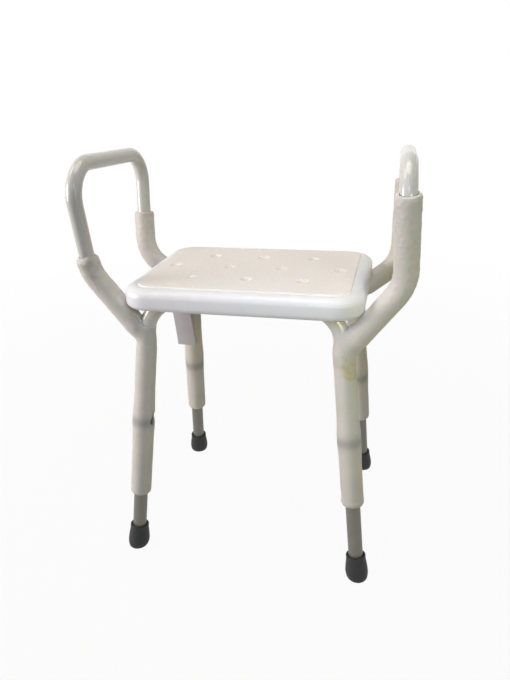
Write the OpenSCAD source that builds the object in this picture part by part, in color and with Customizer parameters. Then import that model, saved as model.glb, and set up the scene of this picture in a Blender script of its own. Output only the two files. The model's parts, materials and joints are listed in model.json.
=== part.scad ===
// Shower stool: a blow-moulded seat on two bent tube frames, with two bent arm rails,
// four telescopic legs on snap buttons, rubber feet and the foam sleeves it is delivered in.
// Origin: on the floor, midway between the feet, under the middle of the seat. +Z up, the user faces -Y.

/* [Seat] */
// Height of the seat's top above the floor, legs in their middle hole
seat_height = 516; // [512:1:520]
// Width of the seat
seat_w = 400; // [392:1:408]
// Depth of the seat, front to back
seat_d = 306; // [300:1:312]
// Thickness of the seat, without its raised panel
seat_t = 36; // [34:1:38]
// Radius of the seat's corners in plan
seat_corner_r = 48; // [44:1:52]
// Thickness of the seat's moulded walls
seat_wall = 2.6; // [2.2:0.1:3]
// Width of the raised, grained panel
panel_w = 354; // [346:1:358]
// Depth of the raised, grained panel
panel_d = 266; // [260:1:270]
// How far the panel stands above the rim
panel_rise = 2; // [1.5:0.1:2.5]

/* [Leg frames] */
// Outer diameter of the leg frame tube
frame_tube_d = 28.6; // [28.6]
// Wall of the leg frame tube
frame_wall = 1.5; // [1.5]
// How far the middle of the crossing tube lies above the seat's underside, in its channel
frame_sink = 9; // [8:0.5:10]
// Radius of the frame's bends, to the middle of the tube
frame_bend_r = 64; // [62:1:66]
// Half the distance between the front feet
front_foot_x = 210.5; // [206:0.5:214]
// Front feet, forward of the middle
front_foot_y = -168; // [-172:1:-164]
// Half the distance between the rear feet
rear_foot_x = 198; // [194:0.5:204]
// Rear feet, behind the middle
rear_foot_y = 168; // [164:1:172]

/* [Telescopic legs] */
// Outer diameter of the sliding inner leg
inner_tube_d = 25.4; // [25.4]
// Distance between the height holes
hole_pitch = 20; // [18:1:21]
// Number of height holes, an odd number
hole_count = 7; // [5, 7]
// Height of the rubber feet
foot_h = 45; // [42:1:47]

/* [Arm rails] */
// Outer diameter of the arm rail tube
arm_tube_d = 25.4; // [25.4]
// Wall of the arm rail tube
arm_wall = 1.5; // [1.5]
// Height of the arm's hand rail at its front
arm_top_z = 710; // [700:1:716]
// Half the distance between the upright parts of the arms
arm_x = 251; // [248:1:254]

/* [Foam sleeves] */
// Outer diameter of the foam sleeves
sleeve_d = 38; // [37:0.5:39]

/* [Hidden] */
ENDS = ["front_left", "front_right", "rear_left", "rear_right"];

$fn = 64;
frame_r = frame_tube_d / 2;
frame_bore_r = frame_r - frame_wall;
arm_r = arm_tube_d / 2;
inner_r = inner_tube_d / 2;
inner_wall = 1.5;
inner_bore_r = inner_r - inner_wall;
sleeve_r = sleeve_d / 2;
panel_rise_z = seat_height - panel_rise;
seat_under_z = panel_rise_z - seat_t;
cross_z = seat_under_z + frame_sink;
far = 1000;

// How far each leg leans per millimetre of height: inward, and towards the middle of the seat
front_lean_x = 0.097;
front_lean_y = 0.126;
rear_lean_x = 0.065;
rear_lean_y = -0.116;

// Places along a leg, measured up its own axis from the floor
outer_end_s = 252;
collar_low_s = 249;
collar_high_s = 268;
button_s = 338;
inner_top_s = 350;
inner_low_s = 9;
button_hole_r = 4;

// Fits
slide_gap = 0.1;
snug = 0.05;

function unit(v) = v / norm(v);
function is_front(end) = end == "front_left" || end == "front_right";
function side_of(end) = (end == "front_right" || end == "rear_right") ? 1 : -1;

// A point on the axis of a leg at height z
function leg_point(side, front, z) = front
    ? [side * (front_foot_x - front_lean_x * z), front_foot_y + front_lean_y * z, z]
    : [side * (rear_foot_x - rear_lean_x * z), rear_foot_y + rear_lean_y * z, z];
function leg_axis(side, front) = unit(leg_point(side, front, 1) - leg_point(side, front, 0));
// A point at distance s along the axis of a leg
function along_leg(side, front, s) = leg_point(side, front, 0) + leg_axis(side, front) * s;

// The matrix that puts X, Y and Z along three directions from a point
function placed(x, y, z, o) = [
    [x[0], y[0], z[0], o[0]],
    [x[1], y[1], z[1], o[1]],
    [x[2], y[2], z[2], o[2]],
    [0, 0, 0, 1]
];

// Bent tubes: straight rods between points, and a ring segment at each corner.
// The ring segments are a hair fuller than the rods, as a bent tube is, so the two merge cleanly.
bend_fuller = 0.06;
bend_overlap = 1.5;

function turn_angle(a, b, c) = 180 - acos(max(-1, min(1, unit(a - b) * unit(c - b))));
function bend_length(a, b, c, r) = r * tan(turn_angle(a, b, c) / 2);

module rod(a, b, r) {
    z = unit(b - a);
    x = unit(abs(z[0]) < 0.9 ? cross([1, 0, 0], z) : cross([0, 1, 0], z));
    multmatrix(placed(x, cross(z, x), z, a)) cylinder(h = norm(b - a), r = r);
}

module elbow(a, b, c, bend_r, r) {
    into = unit(b - a);
    out = unit(c - b);
    axis = unit(cross(into, out));
    start = b - into * bend_length(a, b, c, bend_r);
    inward = cross(axis, into);
    multmatrix(placed(-inward, into, axis, start + inward * bend_r))
        rotate_extrude(angle = turn_angle(a, b, c), $fn = 96)
            translate([bend_r, 0]) circle(r = r, $fn = 48);
}

module bent_rod(points, bends, r) {
    last = len(points) - 1;
    trim = [
        for (i = [0 : last])
            (i == 0 || i == last) ? 0 : bend_length(points[i - 1], points[i], points[i + 1], bends[i - 1])
                - bend_overlap
    ];
    for (i = [0 : last - 1]) {
        run = unit(points[i + 1] - points[i]);
        rod(points[i] + run * trim[i], points[i + 1] - run * trim[i + 1], r);
    }
    for (i = [1 : last - 1])
        elbow(points[i - 1], points[i], points[i + 1], bends[i - 1], r + bend_fuller);
}

// Puts children on a leg: Z up its axis from the floor, X outward from the stool's side
module on_leg(end) {
    side = side_of(end);
    z = leg_axis(side, is_front(end));
    y = unit(cross(z, [side, 0, 0]));
    multmatrix(placed(cross(y, z), y, z, leg_point(side, is_front(end), 0))) children();
}

// ---------- Seat ----------

screw_x = 88;
screw_r = 3;
insert_r = 5;
boss_r = 9;
channel_gap = 1.6;
channel_r = frame_r + bend_fuller + channel_gap;
channel_end = 146;
channel_half = 17.4;
insert_low_z = cross_z + channel_r;
insert_top_z = panel_rise_z - 2;
top_edge_r = 15;
under_edge_r = 10;
edge_steps = 6;
dimple_r = 11;
dimple_depth = 3.6;
dimple_floor_r = 3;
tack_low_r = 19;
tack_top_r = 8;
blow_hole_r = 4;
// Dimples: three across the front, four across the middle and three across the back
dimple_row_y = 68;
dimple_pitch = 95;
outer_dimple_x = 150;
DIMPLES = concat(
    [for (y = [-dimple_row_y, dimple_row_y], i = [-1 : 1]) [i * dimple_pitch, y]],
    [for (side = [-1, 1], x = [dimple_pitch / 2, outer_dimple_x]) [side * x, 0]]
);
SCREWS = [
    for (front = [true, false], side = [-1, 1])
        [side * screw_x, leg_point(1, front, cross_z)[1]]
];

// Rounded edge of the seat: how far it is drawn in at each height, from the underside up
function edge_profile(t, r_low, r_top) = concat(
    [for (i = [0 : edge_steps]) let (a = 90 * i / edge_steps)
        [-r_low * (1 - sin(a)), r_low * (1 - cos(a))]],
    [for (i = [0 : edge_steps]) let (a = 90 * i / edge_steps)
        [-r_top * (1 - cos(a)), t - r_top * (1 - sin(a))]]
);

// A slab with rounded corners and rounded edges
module rounded_slab(w, d, t, corner_r, r_low, r_top) {
    edge = edge_profile(t, r_low, r_top);
    half = concat([[0, 0]], [for (p = edge) [corner_r + p[0], p[1]]], [[0, t]]);
    x = w / 2 - corner_r;
    y = d / 2 - corner_r;
    for (i = [0 : 3]) {
        sx = (i == 0 || i == 3) ? 1 : -1;
        sy = i < 2 ? 1 : -1;
        translate([sx * x, sy * y, 0]) rotate(90 * i) rotate_extrude(angle = 90) polygon(half);
    }
    for (side = [0, 180]) {
        rotate(side) translate([x, y, 0]) rotate([90, 0, 0]) linear_extrude(2 * y) polygon(half);
        rotate(side) translate([-x, y, 0]) rotate([90, 0, 90]) linear_extrude(2 * x) polygon(half);
    }
    translate([-x, -y, 0]) cube([2 * x, 2 * y, t]);
}

module rounded_plate(w, d, t, corner_r) {
    x = w / 2 - corner_r;
    y = d / 2 - corner_r;
    for (i = [-1, 1], j = [-1, 1]) translate([i * x, j * y, 0]) cylinder(h = t, r = corner_r);
    translate([-w / 2, -y, 0]) cube([w, 2 * y, t]);
    translate([-x, -d / 2, 0]) cube([2 * x, d, t]);
}

module tack_cones(grow) {
    top = seat_t - dimple_depth - 2 * seat_wall + grow;
    for (p = DIMPLES)
        translate([p[0], p[1], -1]) cylinder(h = top + 1, r1 = tack_low_r + grow, r2 = tack_top_r + grow);
}

module seat_hollow() {
    inner_corner = seat_corner_r - seat_wall;
    difference() {
        translate([0, 0, seat_wall])
            rounded_slab(seat_w - 2 * seat_wall, seat_d - 2 * seat_wall, seat_t - 2 * seat_wall,
                inner_corner, under_edge_r - seat_wall, top_edge_r - seat_wall);
        tack_cones(seat_wall);
        for (p = DIMPLES)
            translate([p[0], p[1], seat_t - dimple_depth - 2 * seat_wall])
                cylinder(h = dimple_depth + 2 * seat_wall, r = dimple_r + seat_wall);
        translate([0, 0, -seat_under_z]) {
            seat_channels(seat_wall);
            at_screws(cross_z) cylinder(h = seat_t, r = boss_r);
        }
    }
}

// The space that a leg frame takes, grown all round
module frame_envelope(front, grow) {
    bent_rod(frame_path(front, outer_end_s), FRAME_BENDS, frame_r + bend_fuller + grow);
}

// Channels in the seat's underside: round over the tube, straight-sided below so that it drops in
module seat_channels(grow) {
    half = channel_half + grow;
    depth = cross_z - seat_under_z + 1 + grow;
    for (front = [true, false]) {
        frame_envelope(front, channel_gap + grow);
        translate([0, leg_point(1, front, cross_z)[1], seat_under_z - 1]) {
            translate([-channel_end, -half, 0]) cube([2 * channel_end, 2 * half, depth]);
            for (side = [-1, 1]) translate([side * channel_end, 0, 0]) cylinder(h = depth, r = half);
        }
    }
}

module seat_shell() {
    color("ghostwhite") translate([0, 0, seat_under_z]) difference() {
        union() {
            rounded_slab(seat_w, seat_d, seat_t, seat_corner_r, under_edge_r, top_edge_r);
            translate([0, 0, seat_t - seat_wall / 2])
                rounded_plate(panel_w, panel_d, panel_rise + seat_wall / 2, seat_corner_r - 20);
        }
        seat_hollow();
        tack_cones(0);
        for (p = DIMPLES)
            translate([p[0], p[1], seat_t + panel_rise - dimple_depth])
                cylinder(h = dimple_depth + 0.5, r1 = dimple_floor_r, r2 = dimple_r + 1);
        translate([0, 0, -seat_under_z]) {
            seat_channels(0);
            at_screws(cross_z) cylinder(h = insert_top_z - cross_z, r = insert_r + snug);
        }
        translate([0, 0, -1]) cylinder(h = seat_wall + 2, r = blow_hole_r);
    }
}

module at_screws(z) {
    for (p = SCREWS) translate([p[0], p[1], z]) children();
}

module seat_inserts() {
    color("goldenrod") at_screws(insert_low_z) difference() {
        cylinder(h = insert_top_z - insert_low_z, r = insert_r);
        translate([0, 0, -1]) cylinder(h = seat_t, r = screw_r + snug);
    }
}

liner_w = 30;
liner_drop = 3;
washer_t = 1.6;
washer_r = 8;
head_r = 5.5;
head_h = 3.6;
screw_low_z = cross_z - frame_r - washer_t - 1;
screw_len = insert_top_z - 1.5 - screw_low_z;

module along_tube(w, r) {
    translate([-w / 2, 0, cross_z]) rotate([0, 90, 0]) cylinder(h = w, r = r);
}

// Half-round liners that fill the channel around the tube at each screw
module channel_liners() {
    color("dimgray") at_screws(0) difference() {
        along_tube(liner_w, channel_r - snug);
        along_tube(2 * liner_w, frame_r + snug);
        cylinder(h = far, r = screw_r + 0.4);
        translate([-liner_w, -liner_w, cross_z - liner_drop - liner_w]) cube([2 * liner_w, 2 * liner_w, liner_w]);
    }
}

module screw_washers() {
    color("silver") at_screws(0) difference() {
        translate([0, 0, screw_low_z]) cylinder(h = 4 + washer_t, r = washer_r);
        along_tube(2 * liner_w, frame_r + snug);
        cylinder(h = far, r = screw_r + 0.4);
    }
}

module seat_screws() {
    color("silver") at_screws(screw_low_z) difference() {
        union() {
            cylinder(h = screw_len, r = screw_r);
            translate([0, 0, -head_h]) cylinder(h = head_h, r1 = head_r - 1, r2 = head_r);
        }
        translate([0, 0, -head_h - 1]) cylinder(h = 3, r = 2.3, $fn = 6);
    }
}

// ---------- Leg frames ----------

// Corner points of a leg frame whose two legs end at distance s above the floor
function frame_path(front, s) = [
    along_leg(1, front, s),
    leg_point(1, front, cross_z),
    leg_point(-1, front, cross_z),
    along_leg(-1, front, s)
];
FRAME_BENDS = [frame_bend_r, frame_bend_r];

module leg_frame(front) {
    ends = front ? ["front_left", "front_right"] : ["rear_left", "rear_right"];
    reach = (hole_count - 1) / 2;
    y = leg_point(1, front, cross_z)[1];
    color("white") difference() {
        bent_rod(frame_path(front, outer_end_s), FRAME_BENDS, frame_r);
        bent_rod(frame_path(front, outer_end_s - 1), FRAME_BENDS, frame_bore_r);
        for (end = ends, k = [-reach : reach]) on_leg(end)
            translate([0, 0, button_s + k * hole_pitch]) rotate([0, 90, 0])
                cylinder(h = frame_tube_d, r = button_hole_r);
        for (side = [-1, 1]) translate([side * screw_x, y, cross_z - frame_tube_d])
            cylinder(h = 2 * frame_tube_d, r = screw_r + 0.4);
    }
}

module front_leg_frame() { leg_frame(true); }
module rear_leg_frame() { leg_frame(false); }

module collar(end) {
    color("dimgray") on_leg(end) difference() {
        translate([0, 0, collar_low_s]) cylinder(h = collar_high_s - collar_low_s, r = 16);
        translate([0, 0, collar_low_s - 1]) cylinder(h = far, r = inner_r + slide_gap);
        translate([0, 0, outer_end_s]) cylinder(h = far, r = frame_r + 0.03);
    }
}

// ---------- Arm rails ----------

front_joint_z = 414;
rear_joint_z = 437;
arm_low_bend_r = 70;
arm_top_bend_r = 50;
arm_low_out = 8;
weld_gap = 0.02;
// Corner points of an arm, from its front weld over the hand rail to its rear weld
function arm_path(side) = [
    leg_point(side, true, front_joint_z),
    [side * (arm_x + arm_low_out), -117, 532],
    [side * arm_x, -157, arm_top_z],
    [side * arm_x, 120, arm_top_z - 9],
    [side * arm_x, 97, 508],
    leg_point(side, false, rear_joint_z)
];
ARM_BENDS = [arm_low_bend_r, arm_top_bend_r, arm_top_bend_r, arm_low_bend_r];

module arm_rail(side) {
    color("white") difference() {
        bent_rod(arm_path(side), ARM_BENDS, arm_r);
        bent_rod(arm_path(side), ARM_BENDS, arm_r - arm_wall);
        frame_envelope(true, weld_gap);
        frame_envelope(false, weld_gap);
    }
}

module left_arm_rail() { arm_rail(-1); }
module right_arm_rail() { arm_rail(1); }

weld_rise = 1.7;
weld_reach = 24;
// An arm's points from its weld upward: the weld, the low bend's corner and the top bend's corner
function arm_start(end) = let (path = arm_path(side_of(end)))
    is_front(end) ? [path[0], path[1], path[2]] : [path[5], path[4], path[3]];

// The first length of an arm, from a distance out along it, as a rod of radius r
module arm_foot(end, r, low = 0, high = 60) {
    p = arm_start(end);
    out = unit(p[1] - p[0]);
    rod(p[0] + out * low, p[0] + out * high, r);
}

module arm_weld(end) {
    difference() {
        arm_foot(end, arm_r + weld_rise, 3, weld_reach);
        arm_foot(end, arm_r + snug);
        frame_envelope(is_front(end), weld_gap);
    }
}

module arm_welds() {
    color("whitesmoke") for (end = ENDS) arm_weld(end);
}

// ---------- Telescopic legs ----------

module inner_leg(end) {
    color("darkgray") on_leg(end) difference() {
        translate([0, 0, inner_low_s]) cylinder(h = inner_top_s - inner_low_s, r = inner_r);
        translate([0, 0, inner_low_s - 1]) cylinder(h = far, r = inner_bore_r);
        translate([0, 0, button_s]) rotate([0, 90, 0]) cylinder(h = frame_tube_d, r = button_hole_r);
    }
}

foot_top_r = 17.3;
foot_wide_r = 20;
foot_floor_r = 17.8;
disc_t = 1.5;

// Half outline of a foot: it swells a third of the way up and is drawn in at the floor and the top
foot_outline = [
    [0, -8], [foot_floor_r, -8], [foot_floor_r, 1], [foot_wide_r - 0.8, 7], [foot_wide_r, 13],
    [foot_wide_r - 0.6, 21], [foot_top_r + 0.6, 34], [foot_top_r, 40], [foot_top_r, foot_h], [0, foot_h]
];

module floor_cut(h) {
    translate([-far / 2, -far / 2, 0]) cube([far, far, h]);
}

module foot(end) {
    color("#262626") intersection() {
        floor_cut(far);
        on_leg(end) difference() {
            rotate_extrude() polygon(foot_outline);
            translate([0, 0, inner_low_s]) cylinder(h = foot_h, r = inner_r + 0.02);
            translate([0, 0, inner_low_s - disc_t - 0.02]) cylinder(h = 2 * disc_t, r = inner_r - 0.5);
        }
    }
}

module foot_disc(end) {
    color("silver") on_leg(end) translate([0, 0, inner_low_s - disc_t])
        cylinder(h = disc_t - 0.02, r = inner_r - 0.6);
}

button_r = 3.8;
button_out = 15.8;
leaf_w = 8;
leaf_t = 0.6;
leaf_x = 7.8;
leaf_low = -26;
back_x = 10.4;
flange_r = 5;
flange_t = 1.2;
dome_h = 2.4;
dome_steps = 5;

// Half outline of the button: stem, domed tip, and the flange that stops it in the tube
function button_outline() = concat(
    [[0, leaf_t], [flange_r, leaf_t], [flange_r, leaf_t + flange_t], [button_r, leaf_t + flange_t]],
    [for (i = [0 : dome_steps]) let (a = 90 * i / dome_steps)
        [button_r * cos(a), button_out - leaf_x - dome_h * (1 - sin(a))]]
);

// Button, its flange and the leaf that carries it, in one riveted piece
module snap_button(end) {
    color("silver") on_leg(end) translate([leaf_x, 0, button_s]) {
        rotate([0, 90, 0]) rotate_extrude() polygon(button_outline());
        translate([0, -leaf_w / 2, leaf_low]) cube([leaf_t, leaf_w, flange_r - leaf_low]);
    }
}

// Fixed half of the spring clip: it rests on the tube's far wall and bends round at its foot
module button_spring(end) {
    ring_r = (leaf_x + leaf_t + back_x) / 2;
    foot_z = leaf_low - 1.5;
    color("silver") on_leg(end) translate([0, 0, button_s]) {
        translate([-back_x, -leaf_w / 2, foot_z]) cube([leaf_t, leaf_w, -foot_z]);
        translate([ring_r - back_x, leaf_w / 2, foot_z]) rotate([90, 0, 0]) difference() {
            cylinder(h = leaf_w, r = ring_r);
            translate([0, 0, -1]) cylinder(h = leaf_w + 2, r = ring_r - leaf_t);
            translate([-2 * ring_r, 0, -1]) cube([4 * ring_r, 2 * ring_r, leaf_w + 2]);
        }
    }
}

// ---------- Foam sleeves ----------

sleeve_gap = 0.3;
collar_room = 0.4;
weld_room = 0.4;
sleeve_starts = [110.5, 138, 121, 134];
sleeve_tops = [430, 406, 408, 418];

module leg_sleeve(end) {
    i = search([end], ENDS)[0];
    reach = (hole_count - 1) / 2 * hole_pitch + button_hole_r + 1;
    low = sleeve_starts[i];
    color("ivory") difference() {
        on_leg(end) difference() {
            translate([0, 0, low]) cylinder(h = sleeve_tops[i] - low, r = sleeve_r);
            translate([0, 0, low - 1]) cylinder(h = far, r = frame_r + sleeve_gap);
            translate([0, 0, collar_low_s - 2])
                cylinder(h = collar_high_s - collar_low_s + 4, r = 16 + collar_room);
            translate([0, -button_hole_r - 1, button_s - reach])
                cube([16.6, 2 * button_hole_r + 2, 2 * reach]);
        }
        arm_foot(end, arm_r + weld_rise + weld_room);
    }
}

// Each arm sleeve starts on the arm, hard against the leg frame, and ends at a height on the upright
arm_sleeve_start = 6;
arm_sleeve_tops = [557, 671, 596, 655];
// The foam is pressed flat where it lies against the seat
seat_room = 0.5;

function at_height(a, b, z) = a + (b - a) * (z - a[2]) / (b[2] - a[2]);

module arm_sleeve(end) {
    i = search([end], ENDS)[0];
    front = is_front(end);
    p = arm_start(end);
    out = unit(p[1] - p[0]);
    top = at_height(p[1], p[2], arm_sleeve_tops[i]);
    color("ivory") difference() {
        bent_rod([p[0] + out * arm_sleeve_start, p[1], top], [arm_low_bend_r], sleeve_r);
        bent_rod(arm_path(side_of(end)), ARM_BENDS, arm_r + sleeve_gap);
        arm_foot(end, arm_r + weld_rise + weld_room, 0, weld_reach + 1);
        frame_envelope(front, sleeve_gap);
        on_leg(end) translate([0, 0, sleeve_starts[i]])
            cylinder(h = sleeve_tops[i] + sleeve_gap - sleeve_starts[i], r = sleeve_r + sleeve_gap);
        translate([-seat_w / 2, -seat_d / 2, seat_under_z] - seat_room * [1, 1, 1])
            cube([seat_w, seat_d, seat_t] + 2 * seat_room * [1, 1, 1]);
    }
}

// ---------- Hang tag ----------

tag_w = 38;
tag_h = 102;
tag_t = 0.5;
tag_gap = 1.8;
tag_lean = -6;
// The tag's hole, from its left and top edges
tag_hole_x = 29;
tag_hole_z = 6;
tag_ring_r = 5;
ring_wire_r = 0.5;
tie_s = 412;
tie_h = 3;
tie_wall = 1.2;
tie_tab_w = 6;
tie_tab_t = 1.4;
tie_reach = 20;
tie_turn = 70;
tie_hole_r = 1.6;

// The eyelet of the tie around the rear left leg, which holds the tag's ring
tie_up = leg_axis(-1, false);
tie_front = unit(cross(tie_up, [-1, 0, 0]));
tie_out = cross(tie_front, tie_up);
eyelet = along_leg(-1, false, tie_s + tie_tab_t / 2)
    + tie_reach * (cos(tie_turn) * tie_out + sin(tie_turn) * tie_front);

// A nylon band around the leg with a flat tab and an eyelet
module tag_tie() {
    color("whitesmoke") on_leg("rear_left") translate([0, 0, tie_s]) difference() {
        union() {
            cylinder(h = tie_h, r = frame_r + tie_wall);
            rotate(tie_turn) translate([0, -tie_tab_w / 2, 0]) cube([tie_reach, tie_tab_w, tie_tab_t]);
            rotate(tie_turn) translate([tie_reach, 0, 0]) cylinder(h = tie_tab_t, r = tie_tab_w / 2);
        }
        translate([0, 0, -1]) cylinder(h = tie_h + 2, r = frame_r + snug);
        rotate(tie_turn) translate([tie_reach, 0, -1]) cylinder(h = tie_h, r = tie_hole_r);
    }
}

module tag_ring() {
    color("silver") translate(eyelet - [0, tag_ring_r, 0]) rotate([0, 90, 0])
        rotate_extrude() translate([tag_ring_r, 0]) circle(r = ring_wire_r, $fn = 16);
}

// A folded blank card, hung by its hole: two leaves joined along their top edge
module hang_tag() {
    left = -tag_hole_x;
    color("lavender") translate(eyelet - [0, tag_ring_r, tag_ring_r]) rotate([0, tag_lean, 0]) difference() {
        translate([left, 0, tag_hole_z]) {
            translate([0, -tag_gap / 2 - tag_t, -tag_h]) cube([tag_w, tag_t, tag_h]);
            translate([0, tag_gap / 2, 3 - tag_h]) cube([tag_w, tag_t, tag_h - 3]);
            translate([0, -tag_gap / 2 - tag_t, -tag_t]) cube([tag_w, tag_gap + 2 * tag_t, tag_t]);
        }
        translate([0, tag_w, 0]) rotate([90, 0, 0]) cylinder(h = 2 * tag_w, r = 2);
    }
}

seat_shell();
seat_inserts();
channel_liners();
seat_screws();
screw_washers();
front_leg_frame();
rear_leg_frame();
left_arm_rail();
right_arm_rail();
arm_welds();
collar("front_left");  // collar_front_left
collar("front_right");  // collar_front_right
collar("rear_left");  // collar_rear_left
collar("rear_right");  // collar_rear_right
inner_leg("front_left");  // inner_leg_front_left
inner_leg("front_right");  // inner_leg_front_right
inner_leg("rear_left");  // inner_leg_rear_left
inner_leg("rear_right");  // inner_leg_rear_right
foot("front_left");  // foot_front_left
foot("front_right");  // foot_front_right
foot("rear_left");  // foot_rear_left
foot("rear_right");  // foot_rear_right
foot_disc("front_left");  // foot_disc_front_left
foot_disc("front_right");  // foot_disc_front_right
foot_disc("rear_left");  // foot_disc_rear_left
foot_disc("rear_right");  // foot_disc_rear_right
snap_button("front_left");  // snap_button_front_left
snap_button("front_right");  // snap_button_front_right
snap_button("rear_left");  // snap_button_rear_left
snap_button("rear_right");  // snap_button_rear_right
button_spring("front_left");  // button_spring_front_left
button_spring("front_right");  // button_spring_front_right
button_spring("rear_left");  // button_spring_rear_left
button_spring("rear_right");  // button_spring_rear_right
leg_sleeve("front_left");  // leg_sleeve_front_left
leg_sleeve("front_right");  // leg_sleeve_front_right
leg_sleeve("rear_left");  // leg_sleeve_rear_left
leg_sleeve("rear_right");  // leg_sleeve_rear_right
arm_sleeve("front_left");  // arm_sleeve_front_left
arm_sleeve("front_right");  // arm_sleeve_front_right
arm_sleeve("rear_left");  // arm_sleeve_rear_left
arm_sleeve("rear_right");  // arm_sleeve_rear_right
hang_tag();
tag_ring();
tag_tie();
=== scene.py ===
# %% [markdown]
# # A shower stool in its delivery foam
# This lesson dresses a finished CAD model. The tubes, screws and clips already have their true
# shape, so they only get a finish. The seat, the rubber feet, the foam sleeves and the hang tag
# are soft or rounded things that CAD keeps plain, so each is built here as its own mesh.
# We begin by loading the fixed model and keeping its box.

import json
import math

import bmesh
import bpy
import numpy as np
from mathutils import Matrix, Vector, noise


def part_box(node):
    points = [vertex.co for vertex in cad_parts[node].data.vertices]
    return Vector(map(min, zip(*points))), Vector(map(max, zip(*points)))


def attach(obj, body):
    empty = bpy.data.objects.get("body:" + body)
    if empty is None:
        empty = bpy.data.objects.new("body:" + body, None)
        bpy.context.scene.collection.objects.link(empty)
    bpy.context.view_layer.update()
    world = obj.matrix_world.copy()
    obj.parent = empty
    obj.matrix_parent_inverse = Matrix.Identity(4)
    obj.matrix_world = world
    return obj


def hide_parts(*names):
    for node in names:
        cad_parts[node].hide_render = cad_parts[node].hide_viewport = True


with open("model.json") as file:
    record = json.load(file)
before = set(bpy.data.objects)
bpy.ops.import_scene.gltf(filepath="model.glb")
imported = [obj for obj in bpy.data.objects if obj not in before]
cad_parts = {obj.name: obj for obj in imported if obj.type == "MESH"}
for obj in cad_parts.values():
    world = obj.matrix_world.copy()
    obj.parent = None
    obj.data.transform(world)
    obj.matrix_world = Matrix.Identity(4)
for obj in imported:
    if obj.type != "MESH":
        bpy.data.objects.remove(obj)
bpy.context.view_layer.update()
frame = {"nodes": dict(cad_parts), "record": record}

MM = 0.001
ENDS = ("front_left", "front_right", "rear_left", "rear_right")

# %% [markdown]
# ## Camera
# The stool is looked at from the front and a little from the right of the middle, from about
# standing height. A camera is placed by the three directions of its own axes, which is exact and
# needs no angles: its right, its up, and the direction that points back at the viewer.

# %% Place the camera
def placed(name, data):
    """A new object in the scene, which shows a mesh, a curve, a lamp or a camera."""
    thing = bpy.data.objects.new(name, data)
    bpy.context.scene.collection.objects.link(thing)
    return thing


CAMERA_PLACE = (0.2396, -0.9754, 0.8071)
camera = placed("camera", bpy.data.cameras.new("camera"))
bpy.context.scene.camera = camera
camera_right = Vector((0.9725, 0.2309, -0.0306)).normalized()
camera_back = Vector((0.2240, -0.8909, 0.3951)).normalized()
camera_up = camera_back.cross(camera_right).normalized()
camera_right = camera_up.cross(camera_back)
axes = Matrix((camera_right, camera_up, camera_back)).transposed().to_4x4()
camera.matrix_world = Matrix.Translation(CAMERA_PLACE) @ axes
camera.data.sensor_width = 36
camera.data.lens = 30.82
print("camera lens:", camera.data.lens, "mm")

# %% [markdown]
# ## Materials
# Each finish is a small node tree. Colours are written as sRGB hex, as a paint chart gives them,
# and one function turns them to the linear values that the renderer works in. One more function
# adds a node with its settings and its links. All patterns are measured on Object coordinates,
# which are metres here, so a scale of 1000 gives a pattern one millimetre wide.

# %% Helpers for materials
def linear(code):
    """An sRGB hex colour as linear red, green, blue and alpha."""
    parts = [int(code[i:i + 2], 16) / 255 for i in (1, 3, 5)]
    return [p / 12.92 if p <= 0.04045 else ((p + 0.055) / 1.055) ** 2.4 for p in parts] + [1.0]


def add_node(tree, kind, settings=(), links=()):
    """Adds a node, sets its properties or sockets, and links outputs into its inputs."""
    node = tree.nodes.new(kind)
    for name, value in dict(settings).items():
        if isinstance(name, int) or name in node.inputs:
            node.inputs[name].default_value = value
        else:
            setattr(node, name, value)
    for name, output in dict(links).items():
        tree.links.new(output, node.inputs[name])
    return node


def new_finish(name, settings):
    """A material with one Principled shader. Returns the material, its tree, shader and coordinates."""
    material = bpy.data.materials.new(name)
    material.use_nodes = True
    tree = material.node_tree
    shader = tree.nodes["Principled BSDF"]
    for socket, value in settings.items():
        shader.inputs[socket].default_value = value
    place = add_node(tree, "ShaderNodeTexCoord").outputs["Object"]
    return material, tree, shader, place


def arithmetic(tree, operation, *values):
    """One step of arithmetic. Each value is a number or the output of another node."""
    numbers = {i: v for i, v in enumerate(values) if isinstance(v, (int, float))}
    outputs = {i: v for i, v in enumerate(values) if i not in numbers}
    return add_node(tree, "ShaderNodeMath", {"operation": operation, **numbers}, outputs).outputs[0]


COLOUR_A, COLOUR_B, COLOUR_OUT = 6, 7, 2


def colour_between(tree, factor, low, high):
    """A colour from low to high as the factor goes from 0 to 1. Each is hex or an output."""
    mix = add_node(tree, "ShaderNodeMix", {"data_type": "RGBA"}, {0: factor})
    for socket, colour in ((COLOUR_A, low), (COLOUR_B, high)):
        if isinstance(colour, str):
            mix.inputs[socket].default_value = linear(colour)
        else:
            tree.links.new(colour, mix.inputs[socket])
    return mix.outputs[COLOUR_OUT]


def grain(tree, place, scale, detail=2.0):
    """Soft noise between 0 and 1."""
    noise_node = add_node(tree, "ShaderNodeTexNoise", {"Scale": scale, "Detail": detail}, {"Vector": place})
    return noise_node.outputs["Fac"]


def painted(tree, name):
    """The values of a mesh attribute."""
    return add_node(tree, "ShaderNodeAttribute", {"attribute_name": name}).outputs["Fac"]


def bump_from(tree, shader, height, distance, strength=1.0, under=None):
    settings = {"Strength": strength, "Distance": distance}
    bump = add_node(tree, "ShaderNodeBump", settings, {"Height": height})
    if under is not None:
        tree.links.new(under, bump.inputs["Normal"])
    tree.links.new(bump.outputs["Normal"], shader.inputs["Normal"])
    return bump.outputs["Normal"]


def ramp(tree, factor, low, high, first=0.0, last=1.0):
    """The first value below low, the last above high, and even between."""
    limits = {"From Min": low, "From Max": high, "To Min": first, "To Max": last}
    return add_node(tree, "ShaderNodeMapRange", limits, {"Value": factor}).outputs["Result"]


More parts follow.
